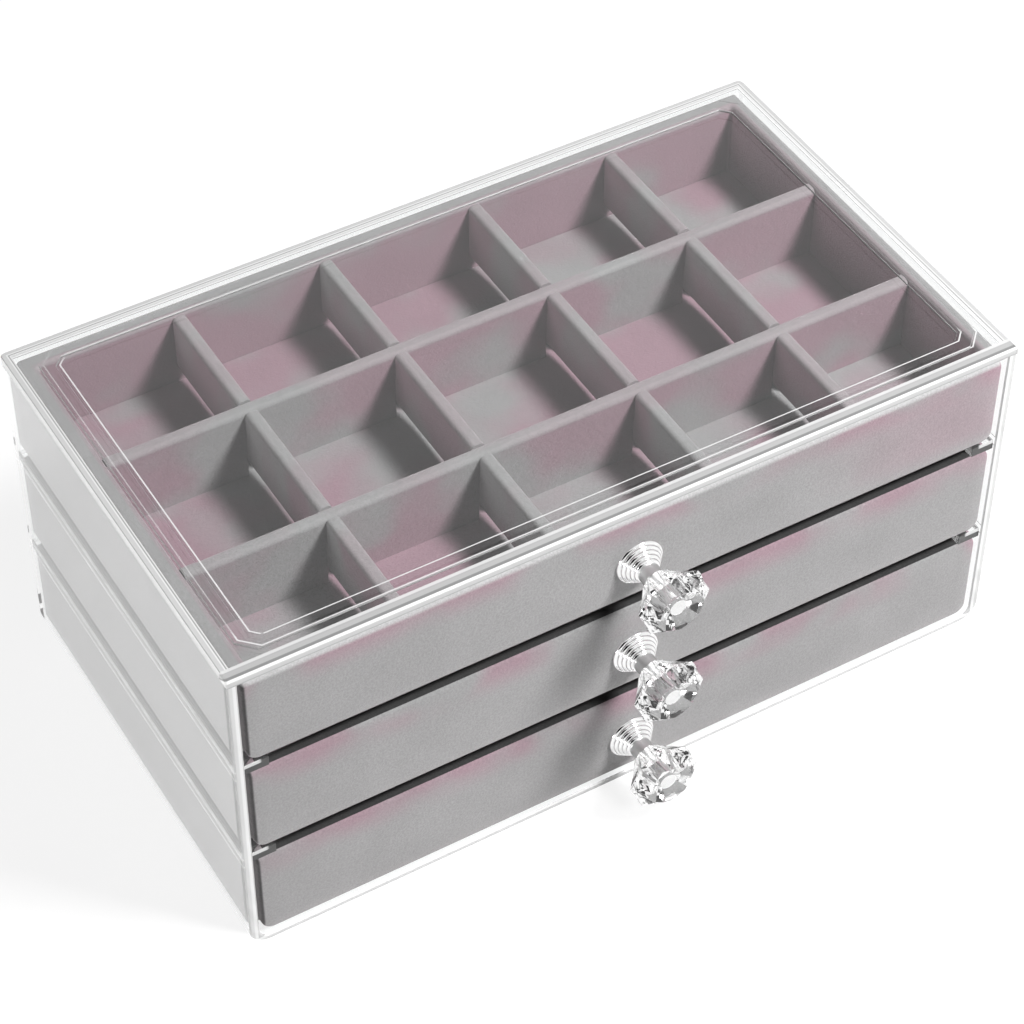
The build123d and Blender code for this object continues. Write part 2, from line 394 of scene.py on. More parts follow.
def painted_edge_reflections(finish, place, tones):
    """Whitish bonded faces and edges with painted reflections and painted shade, in tones along a place
    from 0 to 1.
    """
    stops = [(stop, grey(tone)) for stop, tone in tones]
    tone = finish.node("ShaderNodeValToRGB", {"stops": stops}, {"Fac": place})
    return finish.skin(Base_Color=tone, Roughness=0.35)


def ridge_highlight(across, along, outline):
    """1 on a thin painted highlight line round the lid, a rectangle with cut corners."""
    half_width, half_depth, cut = outline
    reach = (across - half_width) | (along - half_depth)
    reach = reach | ((across + along - (half_width + half_depth - cut)) * math.sqrt(0.5))
    return 1.0 - abs(reach).over(RIDGE_HIGHLIGHT_HALF)


def acrylic_glass(finish, look):
    """The clear body of the acrylic with faint wiping marks and a slight unevenness."""
    marks = finish.clouds(size=0.018, detail=4.0, roughness=0.6, stretch=(1.0, 2.5, 1.0))
    waves = finish.clouds(size=0.09, detail=0.0)
    return finish.skin(
        Base_Color=opaque(look.tint),
        Roughness=finish.spread(marks, 0.45, 0.8, look.polish, look.polish + look.wipe_marks),
        IOR=look.bending,
        Transmission_Weight=1.0,
        Normal=finish.relief(waves, look.waviness, depth=0.0004),
    )


def wall_acrylic(look):
    """Clear acrylic of the walls and base: whitish front edge with painted reflections and shade, and
    bright joints at the rails.
    """
    finish = Finish(bpy.data.materials.new("clear acrylic walls"))
    x, y, z = finish.axes()
    inwards = ((HALF_WIDTH - abs(x)) & z) * (1.0 / WALL_THICKNESS)
    edge = painted_edge_reflections(finish, inwards, WALL_EDGE_REFLECTION_TONES)
    at_front = y.under(WALL_EDGE_DEPTH - HALF_DEPTH)
    surface = finish.either(at_front * look.painted_edge_share, acrylic_glass(finish, look), edge)

    middle = ((RAIL_LOW.z + RAIL_HIGH.z) / 2 - DRAWER_START) / DRAWER_PITCH
    half = (RAIL_HIGH.z - RAIL_LOW.z) / 2 / DRAWER_PITCH
    joint = 1.0 - abs(abs(drawer_share(finish, z) - middle) - half).over(JOINT_HALF_SHARE)
    lowest, highest = JOINT_HEIGHTS
    joint = joint * abs(x).over(HALF_WIDTH - SKIN) * z.over(lowest) * z.under(highest)
    bright = finish.skin(Base_Color=grey(0.55), Roughness=0.35)
    surface = finish.either(joint * JOINT_STRENGTH, surface, bright)
    return finish.done(see_through(finish, surface, ACRYLIC_BOUNCES))


def rail_acrylic(look):
    """Clear acrylic of the rails, whitish where it is bonded to the walls, with painted shade on the
    front ends and a painted highlight at their lit corners.
    """
    finish = Finish(bpy.data.materials.new("clear acrylic rails"))
    x, y, z = finish.axes()
    across = abs(x)
    front_end = y.under(RAIL_LOW.y + SKIN)
    # Painted shade: the front ends are nearly black, with a painted highlight on their lit outer top
    # corners
    lit_edge = drawer_share(finish, z).over(RAIL_LIT_SHARE) * finish.spread(across, *RAIL_LIT_SIDE)
    tone = (1.0 - front_end) * 0.5 + front_end * lit_edge
    edge = painted_edge_reflections(finish, tone, RAIL_END_SHADE_TONES)
    bonded = (across.over(RAIL_HIGH.x - SKIN) | front_end) * look.painted_edge_share
    surface = finish.either(bonded, acrylic_glass(finish, look), edge)
    return finish.done(see_through(finish, surface, ACRYLIC_BOUNCES))


def lid_acrylic(look):
    """Clear acrylic of the lid: whitish edges with painted reflections and shade, the ridge's step
    painted dim for shade, and two thin painted highlights along its ridge.
    """
    finish = Finish(bpy.data.materials.new("clear acrylic lid"))
    x, y, z = finish.axes()
    inwards = (HALF_WIDTH - abs(x)) & (HALF_DEPTH - abs(y))
    side_place = (inwards + z - LID_LOW.z) * (1.0 / (WALL_THICKNESS + LID_THICKNESS))
    # The bands on the lid's edges are painted reflections and painted shade
    side_edge = painted_edge_reflections(finish, side_place, LID_SIDE_REFLECTION_TONES)
    up_front = (z - LID_TOP) * (LID_FRONT_SHARE / LID_THICKNESS) + LID_FRONT_SHARE
    over_top = (y + HALF_DEPTH) * ((1.0 - LID_FRONT_SHARE) / LID_FRONT_BAND)
    front_edge = painted_edge_reflections(finish, up_front + over_top, LID_FRONT_REFLECTION_TONES)
    at_front = y.under(LID_FRONT_BAND - HALF_DEPTH)
    edge = finish.either(at_front, side_edge, front_edge)
    rim = (inwards.under(LID_RIM) | at_front) * look.painted_edge_share
    surface = finish.either(rim, acrylic_glass(finish, look), edge)

    # Painted shade: the ridge's step faces are dim grey
    step = z.over(LID_TOP + RIDGE_STEP_INSET) * z.under(LID_HIGH.z - RIDGE_STEP_INSET)
    step_shade = finish.skin(Base_Color=grey(0.17), Roughness=0.4)
    surface = finish.either(step, surface, step_shade)

    # Painted highlights: two thin bright lines along the ridge, strongest at the front and left where the
    # light falls
    across, along = abs(x - look.ridge_shift), abs(y)
    inner, outer = (ridge_highlight(across, along, outline) for outline in RIDGE_HIGHLIGHTS)
    front = finish.spread(y, *RIDGE_FRONT)
    left = finish.spread(x, *RIDGE_LEFT) * finish.spread(y, *RIDGE_BACK, 0.45, 1.0)
    outer = outer * (front * (1.0 - RIDGE_OUTER_STRENGTH) + RIDGE_OUTER_STRENGTH)
    lit = (front | left) * (RIDGE_LIT_STRENGTH - RIDGE_UNLIT_STRENGTH) + RIDGE_UNLIT_STRENGTH
    highlights = (inner | outer) * z.over(LID_TOP - SKIN) * lit * (1.0 - step)
    bright = finish.skin(Base_Color=grey(0.48), Roughness=0.3)
    surface = finish.either(highlights, surface, bright)
    return finish.done(see_through(finish, surface, ACRYLIC_BOUNCES))


def velvet_finish(look, name, calm, bloom_share, lie=(1.0, 1.0, 1.0), edges=None):
    """Short velvet pile: grey, with a mauve bloom where the pile leans and isn't calm."""
    finish = Finish(bpy.data.materials.new(name))
    x, y, z = finish.axes()
    bloom = finish.clouds(look.bloom_size, detail=2.0, roughness=0.45, stretch=lie)
    shade = finish.clouds(look.bloom_size * 0.6, detail=1.0, stretch=lie)
    pile = finish.clouds(look.pile_size, detail=2.0, roughness=0.7)
    tufts = finish.clouds(look.pile_size * 3.0, detail=1.0)
    leaning = finish.spread(bloom, 0.48 - bloom_share, 0.7 - bloom_share)
    leaning = leaning * (1.0 - calm(finish, x, y, z))
    base = finish.tint(leaning, opaque(look.pile_colour), opaque(look.bloom_colour))
    patches = finish.tint(finish.spread(shade, 0.3, 0.75), grey(0.93), grey(1.0))
    base = finish.tint(1.0, base, patches, "MULTIPLY")
    # edges adds painted shade and painted highlights, as on the drawer fronts
    if edges:
        base = edges(finish, look, x, z, base)
    fibre = finish.tint(finish.spread(pile, 0.25, 0.75), grey(look.fibre_shade), grey(1.0))
    surface = finish.skin(
        Base_Color=finish.tint(1.0, base, fibre, "MULTIPLY"),
        Roughness=finish.spread(tufts, 0.3, 0.7, 0.86, 1.0),
        Specular_IOR_Level=0.15,
        Sheen_Weight=look.sheen,
        Sheen_Roughness=0.45,
        Sheen_Tint=opaque(look.sheen_colour),
        Normal=finish.relief(pile * 0.6 + tufts * 0.4, look.pile_relief, depth=0.0005),
    )
    return finish.done(surface)


def drawer_share(finish, z):
    """Height within a drawer, 0 at its bottom and about 0.88 at its top."""
    levels = (z - DRAWER_START) * (1.0 / DRAWER_PITCH)
    return finish.node("ShaderNodeMath", {"operation": "FRACT"}, {0: levels})


def calm_tray(finish, x, y, z):
    """Tray velvet is plain grey outside and along its rim."""
    rim = finish.spread(drawer_share(finish, z), *TRAY_RIM_SHARES)
    return abs(x).over(TRAY_SIDE) | y.over(TRAY_BACK) | (rim * 0.6)


def calm_divider(finish, x, y, z):
    """Divider velvet is greyer along its top."""
    return finish.spread(drawer_share(finish, z), *DIVIDER_TOP_SHARES) * 0.7


def calm_floor(finish, x, y, z):
    """Floor velvet blooms in patches everywhere."""
    return finish.spread(finish.clouds(size=0.05), 0.5, 0.6) * 0.5


def calm_front(finish, x, y, z):
    """Front velvet blooms towards the top of each drawer and at the right of the top one."""
    low = 1.0 - finish.spread(drawer_share(finish, z), *FRONT_BLOOM_SHARES, 0.0, 0.8)
    right = finish.spread(x, *FRONT_BLOOM_RIGHT) * finish.spread(z, *FRONT_BLOOM_HEIGHTS)
    return low * (1.0 - right * 0.5)


def front_painted_light(finish, look, x, z, base):
    """Painted light on the fronts: lighter overall, painted shade at the left end and atop the lower
    ones, a painted highlight atop the top one.
    """
    # Painted light: the fronts' velvet is lighter than the same velvet elsewhere
    base = finish.tint(1.0, base, grey(look.front_light_paint), "MULTIPLY")
    # Painted shade: darker at the left end, and along the top of the middle and bottom fronts
    front_shade = finish.spread(x, *PAINTED_SHADE_LEFT)
    front_shade = front_shade | (drawer_share(finish, z).over(PAINTED_SHADE_TOP_SHARE) * z.under(PAINTED_SHADE_BELOW))
    base = finish.tint(front_shade, base, shaded(look.pile_colour, PAINTED_SHADE_TONE))
    # Painted highlight: lighter along the top of the top front
    top_highlight = finish.spread(z, *PAINTED_HIGHLIGHT_TOP)
    return finish.tint(top_highlight, base, shaded(look.pile_colour, PAINTED_HIGHLIGHT_TONE))


def metal_finish(look, name, colour, polish, turning, highlight_end=None):
    """Turned and plated metal with fine lathe marks, and a painted white highlight beyond its highlight
    end if it has one.
    """
    finish = Finish(bpy.data.materials.new(name))
    marks = finish.clouds(size=0.004, detail=3.0, roughness=0.6, stretch=(1.0, 14.0, 1.0))
    haze = finish.clouds(size=0.003, detail=2.0)
    surface = finish.skin(
        Base_Color=finish.tint(finish.spread(haze, 0.3, 0.8), opaque(colour), shaded(colour, 0.86)),
        Metallic=1.0,
        Roughness=finish.spread(marks, 0.3, 0.75, polish, polish + look.lathe_haze),
        Normal=finish.relief(marks, turning, depth=0.00008),
    )
    if highlight_end:
        # Painted highlight: the spindle's end, seen through the crystal, is whitish
        white = finish.skin(Base_Color=grey(0.7), Roughness=0.3)
        surface = finish.either(finish.axes()[1].under(highlight_end), surface, white)
    return finish.done(surface)


def crystal_finish(look):
    """Cut clear glass, very slightly hazy in places."""
    finish = Finish(bpy.data.materials.new("cut clear crystal"))
    haze = finish.clouds(size=0.004, detail=2.0)
    surface = finish.skin(
        Base_Color=opaque(look.crystal_colour),
        Roughness=finish.spread(haze, 0.5, 0.9, 0.0, look.crystal_haze),
        IOR=look.crystal_bending,
        Transmission_Weight=1.0,
    )
    return finish.done(see_through(finish, surface, CRYSTAL_BOUNCES, passed=0.6))


# Mesh helpers


def finished_piece(shape, name, body, material):
    """Turn a bmesh into a named piece that rides on a CAD body, smooth but for its sharp edges."""
    bmesh.ops.recalc_face_normals(shape, faces=shape.faces)
    for edge in shape.edges:
        edge.smooth = edge.calc_face_angle(0.0) < SHARP_ANGLE
    mesh = bpy.data.meshes.new(name)
    shape.to_mesh(mesh)
    shape.free()
    for face in mesh.polygons:
        face.use_smooth = True
    mesh.materials.append(material)
    piece = bpy.data.objects.new(name, mesh)
    bpy.context.scene.collection.objects.link(piece)
    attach(piece, body)
    return piece


def block(low, high):
    """A new bmesh holding a closed block between two corners."""
    shape = bmesh.new()
    bmesh.ops.create_cube(shape, size=1.0)
    bmesh.ops.scale(shape, vec=high - low, verts=shape.verts)
    bmesh.ops.translate(shape, vec=(low + high) / 2, verts=shape.verts)
    return shape


def round_edges(shape, edges, radius, segments):
    """Round edges of a bmesh."""
    bmesh.ops.bevel(
        shape,
        geom=edges,
        offset=radius,
        offset_type="OFFSET",
        affect="EDGES",
        segments=segments,
        profile=0.5,
        material=-1,
        clamp_overlap=True,
    )


def edges_along(shape, axis):
    """Edges of a bmesh that run along one axis, 0 to 2."""
    found = []
    for edge in shape.edges:
        run = edge.verts[1].co - edge.verts[0].co
        if abs(run[axis]) > 0.999 * run.length:
            found.append(edge)
    return found


def slice_evenly(shape, axis, low, high, pieces):
    """Cut a bmesh across one axis into even strips, so that it can bend."""
    normal = Vector((0.0, 0.0, 0.0))
    normal[axis] = 1.0
    for cut in range(1, pieces):
        place = Vector((0.0, 0.0, 0.0))
        place[axis] = low + (high - low) * cut / pieces
        everything = [*shape.verts, *shape.edges, *shape.faces]
        bmesh.ops.bisect_plane(shape, geom=everything, plane_co=place, plane_no=normal)


def paint(node, material):
    """Give a CAD node's object a finish, leaving its mesh as it is."""
    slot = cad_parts[node].material_slots[0]
    slot.link = "OBJECT"
    slot.material = material


# Settings


class AcrylicLook(bpy.types.PropertyGroup):
    """The clear case."""

    tint: bpy.props.FloatVectorProperty(
        name="Tint",
        description="Colour of the clear acrylic",
        subtype="COLOR",
        min=0.0,
        max=1.0,
        default=(0.985, 0.99, 0.99),
    )
    bending: bpy.props.FloatProperty(
        name="Index of refraction",
        description="How strongly the acrylic bends light",
        min=1.0,
        max=2.0,
        default=1.49,
    )
    polish: bpy.props.FloatProperty(
        name="Polish",
        description="Roughness of the clean surface",
        min=0.0,
        max=0.5,
        default=0.005,
    )
    wipe_marks: bpy.props.FloatProperty(
        name="Wiping marks",
        description="Extra roughness where the surface was wiped",
        min=0.0,
        max=0.5,
        default=0.03,
    )
    waviness: bpy.props.FloatProperty(
        name="Waviness",
        description="Unevenness of the cast sheet",
        min=0.0,
        max=1.0,
        default=0.08,
    )
    # Share of the edges painted whitish with painted reflections and shade, in place of clear acrylic
    painted_edge_share: bpy.props.FloatProperty(
        name="Edge white",
        description="How white and closed the sawn edges look",
        min=0.0,
        max=1.0,
        default=0.9,
    )
    # Where the ridge's painted highlight lines lie
    ridge_shift: bpy.props.FloatProperty(
        name="Ridge shift",
        description="How far right of the middle the ridge's bright lines lie",
        subtype="DISTANCE",
        unit="LENGTH",
        min=-0.002,
        max=0.002,
        default=0.0012,
    )


class VelvetLook(bpy.types.PropertyGroup):
    """The velvet on trays, fronts, pads and dividers."""

    pile_colour: bpy.props.FloatVectorProperty(
        name="Pile colour",
        description="Velvet seen along the lie of its pile",
        subtype="COLOR",
        min=0.0,
        max=1.0,
        default=(0.2, 0.2, 0.2),
    )
    bloom_colour: bpy.props.FloatVectorProperty(
        name="Bloom colour",
        description="Velvet where the pile leans another way",
        subtype="COLOR",
        min=0.0,
        max=1.0,
        default=(0.22, 0.138, 0.166),
    )
    sheen_colour: bpy.props.FloatVectorProperty(
        name="Sheen colour",
        description="Light caught by the tips of the pile",
        subtype="COLOR",
        min=0.0,
        max=1.0,
        default=(0.75, 0.68, 0.7),
    )
    # Painted light: the velvet of the fronts is made lighter for the light that falls on them
    front_light_paint: bpy.props.FloatProperty(
        name="Front lift",
        description="How much lighter the velvet of the drawer fronts is",
        min=0.5,
        max=2.0,
        default=1.09,
    )
    bloom_size: bpy.props.FloatProperty(
        name="Bloom size",
        description="Width of the patches in the velvet",
        subtype="DISTANCE",
        unit="LENGTH",
        min=0.001,
        default=0.03,
    )
    pile_size: bpy.props.FloatProperty(
        name="Pile size",
        description="Width of one tuft of the pile",
        subtype="DISTANCE",
        unit="LENGTH",
        min=0.0001,
        default=0.0006,
    )
    pile_relief: bpy.props.FloatProperty(
        name="Pile relief",
        description="Depth of the pile's bumps",
        min=0.0,
        max=1.0,
        default=0.35,
    )
    fibre_shade: bpy.props.FloatProperty(
        name="Fibre shade",
        description="Brightness between the fibres",
        min=0.0,
        max=1.0,
        default=0.78,
    )
    sheen: bpy.props.FloatProperty(
        name="Sheen",
        description="How much light the tips of the pile catch",
        min=0.0,
        max=1.0,
        default=0.3,
    )


class PaddingShape(bpy.types.PropertyGroup):
    """How full the soft pieces are."""

    floor_crown: bpy.props.FloatProperty(
        name="Floor crown",
        description="How far the floor pads rise between the dividers",
        subtype="DISTANCE",
        unit="LENGTH",
        min=0.0,
        max=0.003,
        default=0.0009,
    )
    floor_waves: bpy.props.FloatProperty(
        name="Floor waves",
        description="Unevenness of the floor pads",
        subtype="DISTANCE",
        unit="LENGTH",
        min=0.0,
        max=0.001,
        default=0.0003,
    )
    front_crown: bpy.props.FloatProperty(
        name="Front crown",
        description="How far the face of a drawer front stands out from its rim",
        subtype="DISTANCE",
        unit="LENGTH",
        min=0.0,
        max=0.001,
        default=0.0003,
    )
    side_gap: bpy.props.FloatProperty(
        name="Side gap",
        description="How much the wrapped fronts stay back at each side",
        subtype="DISTANCE",
        unit="LENGTH",
        min=0.0,
        max=0.0015,
        default=0.0004,
    )
    front_shift: bpy.props.FloatProperty(
        name="Front shift",
        description="How far right of the middle the wrapped fronts sit",
        subtype="DISTANCE",
        unit="LENGTH",
        min=0.0,
        max=0.001,
        default=0.0006,
    )
    top_rise: bpy.props.FloatProperty(
        name="Top front rise",
        description="How much higher the wrapped front of the top drawer reaches",
        subtype="DISTANCE",
        unit="LENGTH",
        min=-0.0015,
        max=0.0,
        default=-0.0003,
    )
    lower_rise: bpy.props.FloatProperty(
        name="Lower front rise",
        description="How much higher the wrapped fronts of the other drawers reach",
        subtype="DISTANCE",
        unit="LENGTH",
        min=0.0,
        max=0.0008,
        default=0.0007,
    )
    front_corner: bpy.props.FloatProperty(
        name="Front corner",
        description="Radius of the drawer fronts' corners",
        subtype="DISTANCE",
        unit="LENGTH",
        min=0.001,
        max=0.008,
        default=0.0035,
    )
    front_edge: bpy.props.FloatProperty(
        name="Front edge",
        description="Radius of the wrapped edge of the drawer fronts",
        subtype="DISTANCE",
        unit="LENGTH",
        min=0.0002,
        max=0.0019,
        default=0.0011,
    )


class KnobLook(bpy.types.PropertyGroup):
    """The knobs' rings, metal and crystal."""

    rosette_rings: bpy.props.IntProperty(
        name="Rings",
        description="Number of rings of the rosette",
        min=1,
        max=8,
        default=5,
    )
    rosette_radius: bpy.props.FloatProperty(
        name="Rosette radius",
        description="Radius of the widest ring",
        subtype="DISTANCE",
        unit="LENGTH",
        min=0.005,
        max=0.0073,
        default=0.007,
    )
    rosette_bore: bpy.props.FloatProperty(
        name="Rosette bore",
        description="Radius of the hole for the spindle",
        subtype="DISTANCE",
        unit="LENGTH",
        min=0.002,
        max=0.003,
        default=0.00235,
    )
    ring_step: bpy.props.FloatProperty(
        name="Ring step",
        description="How much smaller each ring is than the one behind it",
        subtype="DISTANCE",
        unit="LENGTH",
        min=0.0002,
        max=0.001,
        default=0.00078,
    )
    ring_height: bpy.props.FloatProperty(
        name="Ring height",
        description="Thickness of one ring",
        subtype="DISTANCE",
        unit="LENGTH",
        min=0.0003,
        max=0.0009,
        default=0.0009,
    )
    ring_round: bpy.props.FloatProperty(
        name="Ring rounding",
        description="How far a ring's edges fall back from its middle",
        subtype="DISTANCE",
        unit="LENGTH",
        min=0.0,
        max=0.0008,
        default=0.0006,
    )
    chrome_colour: bpy.props.FloatVectorProperty(
        name="Chrome colour",
        description="Plated rings of the rosette",
        subtype="COLOR",
        min=0.0,
        max=1.0,
        default=(0.9, 0.9, 0.9),
    )
    satin_colour: bpy.props.FloatVectorProperty(
        name="Satin colour",
        description="Turned spindle",
        subtype="COLOR",
        min=0.0,
        max=1.0,
        default=(0.7, 0.7, 0.7),
    )
    steel_colour: bpy.props.FloatVectorProperty(
        name="Screw colour",
        description="Screws inside the drawers",
        subtype="COLOR",
        min=0.0,
        max=1.0,
        default=(0.6, 0.6, 0.61),
    )
    lathe_haze: bpy.props.FloatProperty(
        name="Lathe haze",
        description="Extra roughness along the lathe marks",
        min=0.0,
        max=0.5,
        default=0.08,
    )
    crystal_colour: bpy.props.FloatVectorProperty(
        name="Crystal colour",
        description="Colour of the cut glass",
        subtype="COLOR",
        min=0.0,
        max=1.0,
        default=(0.99, 0.99, 0.99),
    )
    crystal_bending: bpy.props.FloatProperty(
        name="Crystal index of refraction",
        description="How strongly the crystal bends light",
        min=1.0,
        max=2.4,
        default=1.58,
    )
    crystal_haze: bpy.props.FloatProperty(
        name="Crystal haze",
        description="Roughness of the least polished places",
        min=0.0,
        max=0.3,
        default=0.04,
    )


class StudioSetup(bpy.types.PropertyGroup):
    """Camera, lamps and floor."""

    camera_place: bpy.props.FloatVectorProperty(
        name="Camera place",
        description="Where the camera stands",
        subtype="TRANSLATION",
        unit="LENGTH",
        default=(-0.30539, -0.51843, 0.65825),
    )
    camera_turn: bpy.props.FloatProperty(
        name="Camera turn",
        description="Azimuth of the camera, 0 looks at the front",
        subtype="ANGLE",
        default=math.radians(-30.59),
    )
    camera_rise: bpy.props.FloatProperty(
        name="Camera rise",
        description="Elevation of the camera above the horizon",
        subtype="ANGLE",
        default=math.radians(45.6),
    )
    camera_roll: bpy.props.FloatProperty(
        name="Camera roll",
        description="Lean of the camera about its line of sight",
        subtype="ANGLE",
        default=math.radians(0.22),
    )
    camera_lens: bpy.props.FloatProperty(
        name="Lens",
        description="Focal length for a 36 mm sensor",
        subtype="DISTANCE_CAMERA",
        unit="CAMERA",
        default=108.283,
    )
    key_power: bpy.props.FloatProperty(
        name="Key lamp",
        description="Power of the soft lamp above",
        subtype="POWER",
        unit="POWER",
        min=0.0,
        default=34.0,
    )
    side_power: bpy.props.FloatProperty(
        name="Side lamp",
        description="Power of the low lamp on the left",
        subtype="POWER",
        unit="POWER",
        min=0.0,
        default=7.1,
    )
    left_power: bpy.props.FloatProperty(
        name="Left lamp",
        description="Power of the raised lamp on the left",
        subtype="POWER",
        unit="POWER",
        min=0.0,
        default=3.5,
    )
    sky_strength: bpy.props.FloatProperty(
        name="Room light",
        description="Strength of the even light from all sides",
        min=0.0,
        default=0.02,
    )
    floor_colour: bpy.props.FloatVectorProperty(
        name="Floor colour",
        description="Pale studio floor",
        subtype="COLOR",
        min=0.0,
        max=1.0,
        default=(0.86, 0.86, 0.86),
    )
    floor_glow: bpy.props.FloatProperty(
        name="Backdrop share",
        description="Share of plain white in the floor as the camera sees it",
        min=0.0,
        max=1.0,
        default=0.85,
    )


# Stage


def set_up(thing, place):
    """Put a lamp or card at a place, turned towards the middle of the object."""
    thing.location = place
    thing.rotation_mode = "QUATERNION"
    thing.rotation_quaternion = (MIDDLE - Vector(place)).to_track_quat("-Z", "Y")
    bpy.context.scene.collection.objects.link(thing)


def soft_lamp(name, place, size, power):
    """A lamp with a flat rectangular face."""
    light = bpy.data.lights.new(name, "AREA")
    light.shape = "RECTANGLE"
    light.size, light.size_y = size
    light.energy = power
    set_up(bpy.data.objects.new(name, light), place)


def flat_sheet(name, width, depth, height, material):
    """An object that is one flat face, level with the ground at a height."""
    shape = bmesh.new()
    bmesh.ops.create_grid(shape, x_segments=1, y_segments=1, size=0.5)
    bmesh.ops.scale(shape, vec=(width, depth, 1.0), verts=shape.verts)
    bmesh.ops.translate(shape, vec=(0.0, 0.0, height), verts=shape.verts)
    mesh = bpy.data.meshes.new(name)
    shape.to_mesh(mesh)
    shape.free()
    mesh.materials.append(material)
    return bpy.data.objects.new(name, mesh)


def studio_floor(colour, glow):
    """A large pale floor just under the case."""
    finish = Finish(bpy.data.materials.new("pale studio floor"))
    mottle = finish.clouds(size=0.4, detail=2.0)
    tone = finish.tint(finish.spread(mottle, 0.3, 0.7), opaque(colour), shaded(colour, 1.03))
    matt = finish.node("ShaderNodeBsdfDiffuse", {}, {"Color": tone})
    white = finish.node("ShaderNodeEmission", {}, {"Color": grey(1.0), "Strength": 1.0})
    paper = finish.done(finish.either(finish.seen_white() * glow, matt, white))
    floor = flat_sheet("studio_floor", FLOOR_SIZE, FLOOR_SIZE, -FLOOR_DROP, paper)
    bpy.context.scene.collection.objects.link(floor)


def dark_card(name, place, width, height):
    """A dark card with soft edges that only shows as a reflection in metal and crystal."""
    finish = Finish(bpy.data.materials.new(name))
    x, y = finish.axes()[:2]
    middle = finish.spread(abs(x), width / 2, width * CARD_DARK_SHARE)
    middle = middle * finish.spread(abs(y), height / 2, height * CARD_DARK_SHARE)
    dark = finish.node("ShaderNodeBsdfDiffuse", {}, {"Color": grey(0.01)})
    board = finish.done(finish.either(middle, finish.passing(), dark))
    card = flat_sheet(name, width, height, 0.0, board)
    set_up(card, place)
    card.visible_camera = False
    card.visible_diffuse = False
    card.visible_shadow = False


class CASE_OT_stage(bpy.types.Operator):
    """Set up the floor, the lamps, a dark card, the room light and the camera"""

    bl_idname = "case.stage"
    bl_label = "Studio"

    def execute(self, context):
        studio = context.scene.case_studio
        studio_floor(studio.floor_colour, studio.floor_glow)
        for name, power, place, size in LAMPS:
            soft_lamp(name, place, size, getattr(studio, power))
        dark_card("dark card", CARD_PLACE, *CARD_SIZE)
        self.light_room(context.scene, studio.sky_strength)
        self.set_camera(context.scene, studio)
        context.scene.view_settings.view_transform = "Standard"
        return {"FINISHED"}

    def light_room(self, scene, strength):
        """An even faint light from all sides that straight and mirrored rays see as plain white."""
        room = Finish(bpy.data.worlds.new("plain studio"))
        scene.world = room.holder
        even = room.node("ShaderNodeBackground", {}, {"Color": grey(1.0), "Strength": strength})
        white = room.node("ShaderNodeBackground", {}, {"Color": grey(1.0), "Strength": 1.0})
        room.done(room.either(room.seen_white(), even, white), "ShaderNodeOutputWorld")

    def set_camera(self, scene, studio):
        """The camera, turned from the front, raised above the horizon and leaning a little."""
        camera = bpy.data.objects.new("camera", bpy.data.cameras.new("camera"))
        camera.data.lens = studio.camera_lens
        camera.data.sensor_width = 36.0
        camera.location = studio.camera_place
        turn, rise = studio.camera_turn, studio.camera_rise
        level = math.cos(rise)
        sight = Vector((-math.sin(turn) * level, math.cos(turn) * level, -math.sin(rise)))
        roll = Quaternion((0.0, 0.0, 1.0), studio.camera_roll)
        camera.rotation_mode = "QUATERNION"
        camera.rotation_quaternion = sight.to_track_quat("-Z", "Y") @ roll
        scene.collection.objects.link(camera)
        scene.camera = camera


# The object's pieces


class CASE_OT_clear_case(bpy.types.Operator):
    """Give the case, its lid and its rails their clear acrylic"""

    bl_idname = "case.clear_case"
    bl_label = "Clear case"

    def execute(self, context):
        look = context.scene.case_acrylic
        paint("top_panel", lid_acrylic(look))
        paint("case_shell", wall_acrylic(look))
        rail = rail_acrylic(look)
        for node in RAILS:
            paint(node, rail)
        return {"FINISHED"}


class CASE_OT_trays(bpy.types.Operator):
    """Cover the drawer trays and their dividers with velvet"""

    bl_idname = "case.trays"
    bl_label = "Trays and dividers"

    def execute(self, context):
        look = context.scene.case_velvet
        for_trays = velvet_finish(look, "velvet on the trays", calm_tray, bloom_share=0.2)
        for_dividers = velvet_finish(
            look,
            "velvet on the dividers",
            calm_divider,
            bloom_share=0.12,
            lie=(1.0, 1.3, 1.0),
        )
        for level in DRAWERS:
            paint(f"{level}_tray", for_trays)
            for divider in DIVIDERS:
                paint(f"{level}_{divider}", for_dividers)
        return {"FINISHED"}


